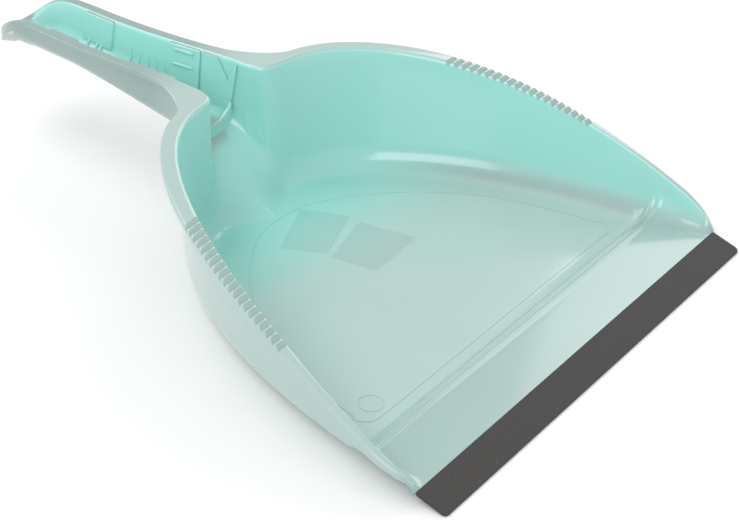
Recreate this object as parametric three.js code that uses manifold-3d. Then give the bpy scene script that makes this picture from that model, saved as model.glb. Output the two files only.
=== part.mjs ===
// Dust pan: one injection-moulded pan with its channel handle, and a soft rubber lip.
// Millimetres. X runs across the mouth, Y from the lip's tip towards the handle's end, Z up.
// Sizes along Y are counted from the lip's tip; the finished model is centred on its length.
import * as THREE from 'three';
import { mergeVertices } from 'three/addons/utils/BufferGeometryUtils.js';
import Module from 'manifold-3d';

const wasm = await Module();
wasm.setup();
const { Manifold, Mesh } = wasm;
const { lerp, clamp, smoothstep } = THREE.MathUtils;

// Walls
const WALL = 1.6;
const RIM_THICKNESS = 2.4;
const RIM_ROUND = 2;

// Pan
const MOUTH_HALF_WIDTH = 115;
const REAR_WALL_Y = 196.5;
const SIDE_ROUNDNESS = 1.9;
const RIM_HEIGHT = 64.1;
const MOUTH_RIM_HEIGHT = 9.1;
const MOUTH_INSET = 2;
const NOSE_LENGTH = 7;
const PLATEAU_TOP = 4.8;
const FLOOR_TOP = WALL;
const STEP_START_Y = 39.6;
const STEP_END_Y = 50.5;
const BEAD_SPACING = 3.4;
const BEAD_HEIGHT = 0.35;
const WALL_BATTER = 3.3;
const FLOOR_FILLET = 14;
const PLATEAU_FILLET = 9;
const RIM_WIDTH_FRONT = 3;
const RIM_WIDTH_REAR = 7.6;

// Throat, where the rear wall turns into the handle
const THROAT_HALF_WIDTH = 15;
const THROAT_CORNER = 9;
const CHUTE_START_Y = 176;
const CHUTE_TOP = 30.6;
const COLLAR_Y = 214;

// Handle
const HANDLE_HALF_WIDTH = 12.3;
const HANDLE_RIM_WIDTH = 6.2;
const HANDLE_RIM_HEIGHT = 60.8;
const HANDLE_STRAIGHT_Y = 290;
const HANDLE_BEND_Y = 312;
const HANDLE_END_Y = 338;
const HANDLE_FLOOR = 44.1;
const CHANNEL_DRAFT = 3.6;
const HANDLE_END_DIP = 14;
const END_RIM_DROP = 8.4;
const END_RIM_WIDTH = 7.5;
const END_RIM_ROUND = 4;
const CHANNEL_FILLET = 9;

// Lip
const LIP_DEPTH = 14;
const LIP_SIDE_INSET = 2;
const LIP_HALF_WIDTH = MOUTH_HALF_WIDTH - LIP_SIDE_INSET;
const LIP_TIP_THICKNESS = 1.1;
const LIP_ROOT_THICKNESS = 1.5;
const LIP_CORNER = 2;
const LIP_CORNER_STEPS = 6;
const FIT_GAP = 0.3;
const MOUTH_Y = LIP_DEPTH;

// Grip comb cut across the rim on both sides
const COMB_GROOVES = 20;
const COMB_FIRST_Y = 81;
const COMB_PITCH = 3.35;
const COMB_DEPTH = 2;

// Shallow marks on the floor
const MARK_DEPTH = 0.4;
const MARK_LINE = 0.8;
const PANEL_INSET = 21;
const RING_RADIUS = 5.4;
const RING_AT = [-79.3, 61];
const RING_SEGMENTS = 48;

// Inside the handle channel
const COLLAR_THICKNESS = 1.8;
const COLLAR_CREST = 36.3;
const COLLAR_RADIUS_MARGIN = 1.9;
const COLLAR_SIDE_INSET = 2.4;
const SLOT_WIDTH = 3;
const SLOT_HALF_LENGTH = 9.5;
const PAD_HEIGHT = 1.8;
const PAD_TOP_CLEARANCE = 1.4;
const PAD_FOOT_CLEARANCE = 3;
const PAD_ROOT = 1.2;
const REAR_PAD_Y = [287, 305.6];
const CATCH_PAD_Y = [233.3, 251.7];
const LINER_Y = [217.5, 232];
const LINER_LEAN = 5;
const NOTCH_DEPTH = 10;
const NOTCH_WIDTH = 6;
const CHANNEL_RIB_HEIGHT = 0.8;
const CHANNEL_RIB_RISE = 9;
const CHANNEL_RIB_FROM_X = 3;
const CHANNEL_RIB_WIDTH = 1.6;
const CHANNEL_RIB_PITCH = 5;
const REAR_RIB_Y = 292.4;
const REAR_RIBS = 3;
const MIDDLE_RIB_Y = 252.4;
const MIDDLE_RIBS = 6;

// How far each rear section leans forwards to its middle point, and how finely corners are divided
const SPINE_LAG = 24;
const SPINE_LAG_START_Y = 100;
const FILLET_STEPS = 5;
const OUTER_FILLET_EXTRA = 3;

// The most of each neighbouring edge that a round corner may use
const KNEE_SHARE = 0.68;
const RIM_SHARE = 0.28;
const EDGE_SHARE = 0.48;

// ---- Heights along the length --------------------------------------------------------

function curveHeight(points, y) {
  const after = points.findIndex((p) => p.y >= y);
  const next = after < 0 ? points.length - 1 : Math.max(after, 1);
  const [a, b] = [points[next - 1], points[next]];
  return lerp(a.z, b.z, clamp((y - a.y) / (b.y - a.y), 0, 1));
}

function smoothHeights(pairs) {
  const knots = pairs.map(([y, z]) => new THREE.Vector3(0, y, z));
  return new THREE.CatmullRomCurve3(knots, false, 'centripetal').getPoints(200);
}

const rimShoulder = new THREE.Vector3(0, lerp(MOUTH_Y, REAR_WALL_Y, 0.5), RIM_HEIGHT - 7);
const panRim = new THREE.QuadraticBezierCurve3(
  new THREE.Vector3(0, MOUTH_Y, MOUTH_RIM_HEIGHT),
  rimShoulder,
  new THREE.Vector3(0, REAR_WALL_Y - 10, RIM_HEIGHT),
).getPoints(60);

function rimHeight(y) {
  if (y > REAR_WALL_Y) {
    const along = smoothstep(y, REAR_WALL_Y + 10, HANDLE_STRAIGHT_Y);
    const past = clamp((y - HANDLE_BEND_Y) / (HANDLE_END_Y - HANDLE_BEND_Y), 0, 1);
    return lerp(RIM_HEIGHT, HANDLE_RIM_HEIGHT, along) - HANDLE_END_DIP * past ** 3;
  }
  const nose = clamp(1 - (y - MOUTH_Y) / NOSE_LENGTH, 0, 1);
  return lerp(curveHeight(panRim, y), PLATEAU_TOP + 0.4, nose ** 3);
}

// The step down behind the plateau: two soft beads run across it.
const step = smoothHeights([
  [STEP_START_Y - 2, PLATEAU_TOP], [STEP_START_Y, PLATEAU_TOP],
  [STEP_START_Y + BEAD_SPACING * 0.5, PLATEAU_TOP + BEAD_HEIGHT],
  [STEP_START_Y + BEAD_SPACING, PLATEAU_TOP - 1.1],
  [STEP_START_Y + BEAD_SPACING * 1.5, PLATEAU_TOP - 1.1 + BEAD_HEIGHT],
  [STEP_START_Y + BEAD_SPACING * 2.2, lerp(PLATEAU_TOP, FLOOR_TOP, 0.8)],
  [STEP_END_Y, FLOOR_TOP], [STEP_END_Y + 2, FLOOR_TOP],
]);

function floorHeight(y) {
  return curveHeight(step, y);
}

const spine = smoothHeights([
  [CHUTE_START_Y - 20, FLOOR_TOP], [CHUTE_START_Y, FLOOR_TOP],
  [lerp(CHUTE_START_Y, COLLAR_Y, 0.25), lerp(FLOOR_TOP, CHUTE_TOP, 0.14)],
  [lerp(CHUTE_START_Y, COLLAR_Y, 0.75), lerp(FLOOR_TOP, CHUTE_TOP, 0.71)],
  [COLLAR_Y, CHUTE_TOP], [COLLAR_Y + 8, CHUTE_TOP + 4], [COLLAR_Y + 26, CHUTE_TOP + 6.5],
  [HANDLE_STRAIGHT_Y, HANDLE_FLOOR - 0.7], [HANDLE_BEND_Y, HANDLE_FLOOR],
  [HANDLE_END_Y, HANDLE_FLOOR],
]);

function spineHeight(y) {
  return y < CHUTE_START_Y ? floorHeight(y) : Math.max(FLOOR_TOP, curveHeight(spine, y));
}

// ---- Rows: each is one section, from the middle line out to the rim -------------------

const flat = (x, y) => new THREE.Vector3(x, y, 0);

// The pan's side at a distance from the lip's tip: the rim's plan is a quarter of a superellipse.
function sideRow(rimY) {
  const centreX = THROAT_HALF_WIDTH + THROAT_CORNER;
  const [spanX, spanY] = [MOUTH_HALF_WIDTH - centreX, REAR_WALL_Y - MOUTH_Y];
  const power = 2 / SIDE_ROUNDNESS;
  const turn = Math.asin(((rimY - MOUTH_Y) / spanY) ** (1 / power));
  const [across, along] = [Math.cos(turn) ** power, Math.sin(turn) ** power];
  const rim = flat(centreX + spanX * across, MOUTH_Y + spanY * along);
  const out = flat(across ** (SIDE_ROUNDNESS - 1) / spanX, along ** (SIDE_ROUNDNESS - 1) / spanY);
  if (turn === 0) out.set(1, 0, 0);
  out.normalize();
  const back = smoothstep(rimY, SPINE_LAG_START_Y, REAR_WALL_Y);
  const mouth = smoothstep(rimY, MOUTH_Y, MOUTH_Y + NOSE_LENGTH * 2);
  const width = lerp(RIM_WIDTH_FRONT, RIM_WIDTH_REAR, smoothstep(along, 0.1, 0.8)) * lerp(0.2, 1, mouth);
  rim.x -= MOUTH_INSET * (1 - mouth);
  const knee = rim.clone().addScaledVector(out, -WALL_BATTER);
  const outer = rim.clone().addScaledVector(out, width);
  const fillet = lerp(PLATEAU_FILLET, FLOOR_FILLET, smoothstep(rim.y, STEP_START_Y - 12, STEP_END_Y));
  return { rim, outer, knee, spineY: rim.y - SPINE_LAG * back, fillet };
}

// The throat's corner and the handle: a few rows set from the named sizes.
function throatAndHandleRows() {
  const outerHalf = HANDLE_HALF_WIDTH + HANDLE_RIM_WIDTH;
  const row = (rim, outer, knee, spineY, fillet) => ({
    rim: flat(...rim), outer: flat(...outer), knee: flat(...knee), spineY, fillet,
  });
  const [half, corner, rear] = [THROAT_HALF_WIDTH, THROAT_CORNER, REAR_WALL_Y];
  const bent = HANDLE_END_Y - HANDLE_BEND_Y;
  return [
    row([half + corner * 0.3, rear + corner * 0.3], [half + 15.5, rear + 11],
      [half + 6, rear + 0.5], CHUTE_START_Y + 10, 13),
    row([half, rear + corner], [half + 10, rear + 19], [half + 1.6, rear + corner - 1], rear + 3, 11),
    row([half - 0.4, COLLAR_Y], [half + 6.2, COLLAR_Y + 10], [half - 1.6, COLLAR_Y], COLLAR_Y - 2, 10),
    row([half - 1.1, COLLAR_Y + 16], [outerHalf + 1.4, COLLAR_Y + 20],
      [half - 4.2, COLLAR_Y + 16], COLLAR_Y + 15, CHANNEL_FILLET),
    row([half - 1.8, COLLAR_Y + 36], [outerHalf + 0.6, COLLAR_Y + 37],
      [half - 1.8 - CHANNEL_DRAFT, COLLAR_Y + 36], COLLAR_Y + 35, CHANNEL_FILLET),
    row([HANDLE_HALF_WIDTH, HANDLE_STRAIGHT_Y], [outerHalf, HANDLE_STRAIGHT_Y],
      [HANDLE_HALF_WIDTH - CHANNEL_DRAFT, HANDLE_STRAIGHT_Y], HANDLE_STRAIGHT_Y, CHANNEL_FILLET),
    row([HANDLE_HALF_WIDTH, HANDLE_BEND_Y], [outerHalf - 0.4, HANDLE_BEND_Y + 1],
      [HANDLE_HALF_WIDTH - CHANNEL_DRAFT, HANDLE_BEND_Y], HANDLE_BEND_Y - 1, CHANNEL_FILLET),
    row([HANDLE_HALF_WIDTH * 0.9, HANDLE_BEND_Y + bent * 0.62],
      [outerHalf * 0.91, HANDLE_BEND_Y + bent * 0.74],
      [HANDLE_HALF_WIDTH * 0.7, HANDLE_BEND_Y + bent * 0.5], HANDLE_BEND_Y + bent * 0.2, 7),
    row([HANDLE_HALF_WIDTH * 0.58, HANDLE_BEND_Y + bent * 0.92],
      [outerHalf * 0.6, HANDLE_BEND_Y + bent * 1.15],
      [HANDLE_HALF_WIDTH * 0.38, HANDLE_BEND_Y + bent * 0.8], HANDLE_BEND_Y + bent * 0.36, 5),
    row([0, HANDLE_END_Y], [0, HANDLE_END_Y + END_RIM_WIDTH],
      [0, HANDLE_BEND_Y + bent * 0.88], HANDLE_BEND_Y + bent * 0.45, 4),
  ];
}

const sideGuides = [
  MOUTH_Y, MOUTH_Y + 1.5, MOUTH_Y + 4, MOUTH_Y + 8, 30, STEP_START_Y,
  ...[0.5, 1, 1.5, 2.2].map((beads) => STEP_START_Y + BEAD_SPACING * beads),
  STEP_END_Y, 60, 75, 92, 110, 127, 143, 157, 169, 179, 187, 192, REAR_WALL_Y - 1.6,
];
const guideRows = [...sideGuides.map(sideRow), ...throatAndHandleRows()];

// A smooth run of rows through the guide rows, each with its heights filled in.
function smoothRows() {
  const through = (pick) => new THREE.CatmullRomCurve3(guideRows.map(pick), false, 'centripetal');
  const curves = ['rim', 'outer', 'knee'].map((key) => [key, through((row) => row[key])]);
  const last = guideRows.length - 1;
  return Array.from({ length: last * 2 + 1 }, (_, i) => {
    const t = i / (last * 2);
    const row = Object.fromEntries(curves.map(([key, curve]) => [key, curve.getPoint(t)]));
    const [low, high] = [guideRows[Math.floor(i / 2)], guideRows[Math.ceil(i / 2)]];
    const middle = (low.spineY + high.spineY) / 2;
    row.spine = new THREE.Vector3(0, middle, spineHeight(middle));
    row.fillet = (low.fillet + high.fillet) / 2;
    const mouth = smoothstep(row.rim.y, MOUTH_Y, MOUTH_Y + NOSE_LENGTH * 2);
    const end = smoothstep(row.rim.y, HANDLE_BEND_Y, HANDLE_END_Y);
    row.thickness = RIM_THICKNESS * lerp(0.4, 1, mouth) + (END_RIM_DROP - RIM_THICKNESS) * end;
    row.edgeRound = lerp(RIM_ROUND, END_RIM_ROUND, end);
    row.rim.z = rimHeight(row.rim.y);
    row.outer.z = row.rim.z;
    const nearChute = 1 - smoothstep(row.knee.x, THROAT_HALF_WIDTH, THROAT_HALF_WIDTH * 2);
    row.knee.z = lerp(floorHeight(row.knee.y), spineHeight(row.knee.y), nearChute);
    return row;
  });
}

// ---- One section ----------------------------------------------------------------------

// Points of a round corner at `at` between `from` and `to`; it takes at most `share` of each leg.
function roundCorner(from, at, to, radius, steps, share) {
  const back = from.clone().sub(at);
  const ahead = to.clone().sub(at);
  const turn = Math.PI - back.angleTo(ahead);
  const reach = Math.min(radius * Math.tan(turn / 2), back.length() * share, ahead.length() * share);
  const start = at.clone().addScaledVector(back.normalize(), reach);
  const end = at.clone().addScaledVector(ahead.normalize(), reach);
  const weight = Math.cos(turn / 2);
  return Array.from({ length: steps + 1 }, (_, i) => {
    const t = i / steps;
    const parts = [(1 - t) ** 2, 2 * t * (1 - t) * weight, t ** 2];
    const point = new THREE.Vector3()
      .addScaledVector(start, parts[0])
      .addScaledVector(at, parts[1])
      .addScaledVector(end, parts[2]);
    return point.divideScalar(parts[0] + parts[1] + parts[2]);
  });
}

function between(a, b, steps) {
  return Array.from({ length: steps }, (_, i) => a.clone().lerp(b, (i + 1) / (steps + 1)));
}

// The closed loop of a row: along the top from the middle line to the rim's edge, then back beneath.
function sectionLoop(row) {
  const down = new THREE.Vector3(0, 0, -1);
  const out = row.outer.clone().sub(row.rim).setZ(0).normalize();
  const outerLow = row.outer.clone().addScaledVector(down, row.thickness);
  const wallTop = row.rim.clone().addScaledVector(out, WALL).addScaledVector(down, row.thickness);
  const wallOut = row.rim.clone().sub(row.knee).setZ(0).normalize();
  const kneeLow = row.knee.clone().addScaledVector(wallOut, WALL).addScaledVector(down, WALL);
  const spineLow = row.spine.clone().addScaledVector(down, WALL);
  const kneeRound = roundCorner(row.spine, row.knee, row.rim, row.fillet, FILLET_STEPS, KNEE_SHARE);
  const rimRound = roundCorner(row.knee, row.rim, row.outer, RIM_ROUND, 2, RIM_SHARE);
  const edgeRound = roundCorner(row.rim, row.outer, outerLow, row.edgeRound, 2, EDGE_SHARE);
  const lowFillet = row.fillet + OUTER_FILLET_EXTRA;
  const kneeLowRound = roundCorner(wallTop, kneeLow, spineLow, lowFillet, FILLET_STEPS, KNEE_SHARE);
  return [
    row.spine, ...between(row.spine, kneeRound[0], 2),
    ...kneeRound, ...rimRound, ...edgeRound,
    outerLow, wallTop,
    ...kneeLowRound, ...between(kneeLowRound[FILLET_STEPS], spineLow, 2), spineLow,
  ];
}

// ---- The skin -------------------------------------------------------------------------

// Lofts the loops of one half, mirrors them and joins the halves on the middle line.
function loftShell(loops) {
  const positions = [];
  const index = new Map();
  const vertex = (p, side) => {
    const x = Math.abs(p.x) < 1e-6 ? 0 : p.x * side;
    const key = [x, p.y, p.z].map((v) => v.toFixed(5)).join();
    if (!index.has(key)) {
      index.set(key, positions.length / 3);
      positions.push(x, p.y, p.z);
    }
    return index.get(key);
  };
  const triangles = [];
  const add = (side, a, b, c) => {
    const [i, j, k] = [a, b, c].map((p) => vertex(p, side));
    if (i === j || j === k || k === i) return;
    triangles.push(...(side > 0 ? [i, j, k] : [i, k, j]));
  };
  const cap = (side, loop, facing) => {
    if (loop.every((p) => p.x === 0)) return;
    let [upper, lower] = [0, loop.length - 1];
    while (upper + 1 < lower) {
      const ahead = loop[upper + 1].distanceTo(loop[lower]);
      const across = ahead < loop[lower - 1].distanceTo(loop[upper]);
      const next = across ? upper + 1 : lower - 1;
      const corners = [loop[upper], loop[next], loop[lower]];
      add(side, ...(facing > 0 ? corners.reverse() : corners));
      if (across) upper += 1;
      else lower -= 1;
    }
  };
  for (const side of [1, -1]) {
    for (let r = 0; r + 1 < loops.length; r++) {
      const [near, far] = [loops[r], loops[r + 1]];
      for (let i = 0; i + 1 < near.length; i++) {
        add(side, near[i], near[i + 1], far[i + 1]);
        add(side, near[i], far[i + 1], far[i]);
      }
    }
    cap(side, loops[0], 1);
    cap(side, loops[loops.length - 1], -1);
  }
  return { positions, triangles };
}

function toManifold({ positions, triangles }) {
  const mesh = new Mesh({
    numProp: 3,
    vertProperties: new Float32Array(positions),
    triVerts: new Uint32Array(triangles),
  });
  mesh.merge();
  return new Manifold(mesh);
}

const rows = smoothRows();

// ---- Details --------------------------------------------------------------------------

// A closed geometry as a solid that can be joined and cut.
function solidOf(geometry) {
  geometry.deleteAttribute('normal');
  geometry.deleteAttribute('uv');
  const merged = mergeVertices(geometry);
  return new Manifold(new Mesh({
    numProp: 3,
    vertProperties: new Float32Array(merged.attributes.position.array),
    triVerts: new Uint32Array(merged.index.array),
  }));
}

// A flat outline in X and Y, raised from z 0.
function raisedOutline(outline, height) {
  const shape = new THREE.Shape(outline.map(([x, y]) => new THREE.Vector2(x, y)));
  return solidOf(new THREE.ExtrudeGeometry(shape, { depth: height, bevelEnabled: false }));
}

// A flat outline in Y and Z, given a thickness centred on X.
function acrossPrism(outline, halfWidth) {
  return raisedOutline(outline, halfWidth * 2).rotate([90, 0, 90]).translate([-halfWidth, 0, 0]);
}

function box(low, high) {
  const size = high.map((v, i) => v - low[i]);
  const centre = high.map((v, i) => (v + low[i]) / 2);
  return solidOf(new THREE.BoxGeometry(...size).translate(...centre));
}

function disc(radius, height) {
  const geometry = new THREE.CylinderGeometry(radius, radius, height, RING_SEGMENTS);
  return solidOf(geometry.rotateX(Math.PI / 2).translate(0, 0, height / 2));
}

function gripComb() {
  const teeth = [];
  const start = COMB_FIRST_Y - COMB_PITCH / 2;
  for (let i = 0; i < COMB_GROOVES; i++) {
    const y = COMB_FIRST_Y + i * COMB_PITCH;
    teeth.push([y - COMB_PITCH / 2, rimHeight(y - COMB_PITCH / 2)], [y, rimHeight(y) - COMB_DEPTH]);
  }
  const end = start + COMB_GROOVES * COMB_PITCH;
  const above = rimHeight(end) + COMB_DEPTH;
  const outline = [...teeth, [end, rimHeight(end)], [end, above]];
  outline.push([start, rimHeight(start) + COMB_DEPTH * 2]);
  return acrossPrism(outline, MOUTH_HALF_WIDTH + 10);
}

function ringMark() {
  const height = MARK_DEPTH * 2;
  const ring = disc(RING_RADIUS, height).subtract(disc(RING_RADIUS - MARK_LINE, height));
  return ring.translate([...RING_AT, FLOOR_TOP - MARK_DEPTH]);
}

// Two plain recessed squares on the floor.
function squareMarks() {
  const outlines = [
    [[-18, 159.8], [-8.1, 140.6], [22.1, 151.5], [13.1, 173.4]],
    [[-9, 137.8], [-4.7, 115.5], [27.4, 117.5], [21.5, 145.6]],
  ];
  return outlines.map((outline) =>
    raisedOutline(outline, MARK_DEPTH * 2).translate([0, 0, FLOOR_TOP - MARK_DEPTH]));
}

// A fine groove round the floor panel, set in from the rim.
function panelGroove() {
  const inside = (inset) => {
    const edge = rows
      .filter((row) => row.rim.y > STEP_END_Y + inset * 0.1 && row.rim.x > THROAT_HALF_WIDTH * 1.7)
      .map((row) => [row.rim.x - inset, row.rim.y - inset * smoothstep(row.rim.y, 90, REAR_WALL_Y)]);
    const front = STEP_END_Y + 2 + (inset - PANEL_INSET);
    const right = [[edge[0][0], front], ...edge.filter(([, y]) => y > front + 1)];
    const left = right.map(([x, y]) => [-x, y]).reverse();
    const outline = raisedOutline([...right, ...left], MARK_DEPTH * 2);
    return outline.translate([0, 0, FLOOR_TOP - MARK_DEPTH]);
  };
  return inside(PANEL_INSET).subtract(inside(PANEL_INSET + MARK_LINE));
}

// The channel's lining: a skin of even height on the inner side walls of the handle.
function liningLoop(row) {
  const inward = row.knee.clone().setZ(0).sub(row.outer.clone().setZ(0)).normalize();
  const foot = row.knee.clone().setZ(row.knee.z + PAD_FOOT_CLEARANCE);
  const line = [foot, row.rim.clone().setZ(row.rim.z - PAD_TOP_CLEARANCE)];
  const behind = line.map((p) => p.clone().addScaledVector(inward, -PAD_ROOT));
  const before = line.map((p) => p.clone().addScaledVector(inward, PAD_HEIGHT));
  return [before[0], before[1], behind[1], behind[0]];
}

// A solid through four-cornered loops, closed at both ends.
function quadTube(loops) {
  const corners = loops.flat().flatMap((p) => p.toArray());
  const triangles = [];
  const quad = (a, b, c, d) => triangles.push(a, b, c, a, c, d);
  for (let r = 0; r + 1 < loops.length; r++) {
    for (let i = 0; i < 4; i++) {
      const j = (i + 1) % 4;
      quad(r * 4 + i, r * 4 + j, r * 4 + 4 + j, r * 4 + 4 + i);
    }
  }
  const last = (loops.length - 1) * 4;
  quad(3, 2, 1, 0);
  quad(last, last + 1, last + 2, last + 3);
  return toManifold({ positions: corners, triangles });
}

function linedWall() {
  const [from, to] = [LINER_Y[0] - LINER_LEAN - 4, HANDLE_BEND_Y + 2];
  const channel = rows.filter((row) => row.rim.y > from && row.rim.y < to);
  return quadTube(channel.map(liningLoop));
}

function handlePads() {
  const low = CHUTE_TOP;
  const high = RIM_HEIGHT;
  const half = THROAT_HALF_WIDTH * 2;
  const notchTop = rimHeight(LINER_Y[0]) - PAD_TOP_CLEARANCE;
  const liner = acrossPrism([
    [LINER_Y[0], low], [LINER_Y[1], low], [LINER_Y[1], high],
    [LINER_Y[0] + NOTCH_WIDTH, high], [LINER_Y[0] + NOTCH_WIDTH, notchTop],
    [LINER_Y[0], notchTop - NOTCH_DEPTH], [LINER_Y[0] - LINER_LEAN, notchTop - 1],
  ], half);
  const pads = [REAR_PAD_Y, CATCH_PAD_Y].map(([from, to]) => box([-half, from, low], [half, to, high]));
  const right = linedWall();
  const lining = right.add(right.mirror([1, 0, 0]));
  return lining.intersect(Manifold.union([liner, ...pads]));
}

// Low ribs up both sides of the channel's rounded bottom: slices of the skin moved inwards
// in two small moves, so that no gap is left behind them.
function channelRibs(skin) {
  const runs = [[REAR_RIB_Y, REAR_RIBS], [MIDDLE_RIB_Y, MIDDLE_RIBS]];
  const slices = runs.flatMap(([first, count]) => Array.from({ length: count }, (_, i) => {
    const y = first + i * CHANNEL_RIB_PITCH;
    const top = spineHeight(y) + CHANNEL_RIB_RISE;
    return box([CHANNEL_RIB_FROM_X, y, 0], [HANDLE_HALF_WIDTH, y + CHANNEL_RIB_WIDTH, top]);
  }));
  const moved = [0.5, 1].map((part) => {
    const height = CHANNEL_RIB_HEIGHT * part;
    return skin.translate([-height, 0, height / 2]);
  });
  const right = Manifold.union(moved).intersect(Manifold.union(slices));
  return right.add(right.mirror([1, 0, 0]));
}

// The thin rib that stands across the top of the chute, its crest curving up at the sides.
function collar() {
  const half = THROAT_HALF_WIDTH - COLLAR_SIDE_INSET;
  const radius = half + COLLAR_RADIUS_MARGIN;
  const crest = Array.from({ length: 13 }, (_, i) => {
    const x = lerp(half, -half, i / 12);
    return [x, COLLAR_CREST + radius - Math.sqrt(radius ** 2 - x ** 2)];
  });
  const outline = [[-half, CHUTE_TOP - WALL / 2], [half, CHUTE_TOP - WALL / 2], ...crest];
  const standing = raisedOutline(outline, COLLAR_THICKNESS).rotate([90, 0, 0]);
  return standing.translate([0, COLLAR_Y + COLLAR_THICKNESS, 0]);
}

function collarSlot() {
  const from = COLLAR_Y + COLLAR_THICKNESS;
  return box([-SLOT_HALF_LENGTH, from, 0], [SLOT_HALF_LENGTH, from + SLOT_WIDTH, COLLAR_CREST + 6]);
}

function panSolid() {
  const skin = toManifold(loftShell(rows.map(sectionLoop)));
  const raised = [handlePads(), channelRibs(skin), collar()];
  const cuts = [gripComb(), collarSlot(), ringMark(), ...squareMarks(), panelGroove()];
  return Manifold.union([skin, ...raised]).subtract(Manifold.union(cuts));
}

// The rubber lip: a thin wedge-fronted strip that slopes down to the ground.
function lipSolid() {
  const root = LIP_DEPTH - FIT_GAP;
  const low = PLATEAU_TOP - LIP_ROOT_THICKNESS;
  const outline = [[0, 0], [root, low], [root, PLATEAU_TOP], [0, LIP_TIP_THICKNESS]];
  const strip = acrossPrism(outline, LIP_HALF_WIDTH);
  const plan = new THREE.Shape();
  const [half, corner] = [LIP_HALF_WIDTH, LIP_CORNER];
  plan.moveTo(half, root + 1);
  plan.lineTo(half, corner);
  plan.absarc(half - corner, corner, corner, 0, -Math.PI / 2, true);
  plan.lineTo(corner - half, 0);
  plan.absarc(corner - half, corner, corner, -Math.PI / 2, -Math.PI, true);
  plan.lineTo(-half, root + 1);
  const points = plan.getPoints(LIP_CORNER_STEPS).map((p) => [p.x, p.y]);
  return strip.intersect(raisedOutline(points, PLATEAU_TOP + 1));
}

// ---- The model ------------------------------------------------------------------------

function toMesh(name, solid, look) {
  const mesh = solid.getMesh();
  const geometry = new THREE.BufferGeometry();
  geometry.setAttribute('position', new THREE.BufferAttribute(new Float32Array(mesh.vertProperties), 3));
  geometry.setIndex(new THREE.BufferAttribute(new Uint32Array(mesh.triVerts), 1));
  geometry.computeVertexNormals();
  const made = new THREE.Mesh(geometry, new THREE.MeshStandardMaterial(look));
  made.name = name;
  made.position.y = -(HANDLE_END_Y + END_RIM_WIDTH) / 2;
  return made;
}

const model = new THREE.Group();
model.name = 'dust_pan';
model.add(toMesh('pan_body', panSolid(), { color: 0x8fcabb, roughness: 0.25, metalness: 0 }));
model.add(toMesh('edge_lip', lipSolid(), { color: 0x3a3836, roughness: 0.75, metalness: 0 }));

export default model;
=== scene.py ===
# %% [markdown]
# # A moulded dust pan with a soft rubber lip
#
# A dust pan like this is two pieces: one glossy polypropylene moulding, which is the pan, its rim and
# its open channel handle all at once, and a strip of soft rubber along the mouth. The CAD frame fixes
# every size. This lesson rebuilds the skin finely enough for gloss to run smoothly over it, adds the
# small moulded details, and lights it like a catalogue picture.

import math

import bmesh
import bpy
import numpy as np
from mathutils import Matrix, Vector


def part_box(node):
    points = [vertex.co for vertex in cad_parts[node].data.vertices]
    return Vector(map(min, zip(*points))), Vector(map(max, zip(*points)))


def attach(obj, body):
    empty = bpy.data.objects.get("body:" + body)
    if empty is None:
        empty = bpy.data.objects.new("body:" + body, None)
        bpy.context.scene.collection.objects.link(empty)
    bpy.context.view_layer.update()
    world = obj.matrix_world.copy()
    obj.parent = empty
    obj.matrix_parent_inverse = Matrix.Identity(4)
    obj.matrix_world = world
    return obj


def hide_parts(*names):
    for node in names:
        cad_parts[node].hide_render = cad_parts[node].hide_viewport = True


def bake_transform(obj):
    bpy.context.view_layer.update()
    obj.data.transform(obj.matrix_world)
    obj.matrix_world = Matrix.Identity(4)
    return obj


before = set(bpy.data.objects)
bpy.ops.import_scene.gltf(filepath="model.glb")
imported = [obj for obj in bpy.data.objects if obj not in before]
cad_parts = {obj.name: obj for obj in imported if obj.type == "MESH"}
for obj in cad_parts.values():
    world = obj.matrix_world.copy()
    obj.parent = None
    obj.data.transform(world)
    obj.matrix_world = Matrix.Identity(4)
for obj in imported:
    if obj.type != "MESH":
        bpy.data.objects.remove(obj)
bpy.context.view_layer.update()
MM = 0.001
(pan_low, pan_high) = (np.array(v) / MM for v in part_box("pan_body"))
(lip_low, lip_high) = (np.array(v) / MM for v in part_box("edge_lip"))
TIP_Y = lip_low[1]
print("pan box in mm:", pan_low.round(1), pan_high.round(1))

# %% [markdown]
# ## Sizes
#
# Everything is worked out in millimetres, counted along the length from the tip of the lip, and moved
# into the frame at the end. The overall sizes are read from the frame, so a change in the CAD moves
# the looks with it. The others are the moulding's own sizes.

# %% Sizes of the moulding
WALL = 1.6
RIM_THICKNESS = 2.4
RIM_ROUND = 2.0
RIM_HEIGHT = pan_high[2]
MOUTH_Y = pan_low[1] - TIP_Y
LENGTH = pan_high[1] - TIP_Y
MOUTH_HALF_WIDTH = 115.0
REAR_WALL_Y = 196.5
SIDE_ROUNDNESS = 1.9
MOUTH_RIM_HEIGHT = 9.1
MOUTH_INSET = 2.0
NOSE_LENGTH = 7.0
PLATEAU_TOP = lip_high[2]
FLOOR_TOP = pan_low[2] + WALL
STEP_START_Y = 39.6
STEP_END_Y = 50.5
BEAD_SPACING = 3.4
BEAD_HEIGHT = 0.35
WALL_BATTER = 3.3
FLOOR_FILLET = 14.0
PLATEAU_FILLET = 9.0
RIM_WIDTH_FRONT = 3.0
RIM_WIDTH_REAR = 7.6
THROAT_HALF_WIDTH = 15.0
THROAT_CORNER = 9.0
CHUTE_START_Y = 176.0
CHUTE_TOP = 30.6
COLLAR_Y = 214.0
HANDLE_HALF_WIDTH = 12.3
HANDLE_RIM_WIDTH = 6.2
HANDLE_RIM_HEIGHT = 60.8
HANDLE_STRAIGHT_Y = 290.0
HANDLE_BEND_Y = 312.0
END_RIM_WIDTH = 7.5
END_RIM_DROP = 8.4
END_RIM_ROUND = 4.0
HANDLE_END_Y = LENGTH - END_RIM_WIDTH
HANDLE_FLOOR = 44.1
CHANNEL_DRAFT = 3.6
HANDLE_END_DIP = 14.0
CHANNEL_FILLET = 9.0
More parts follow.
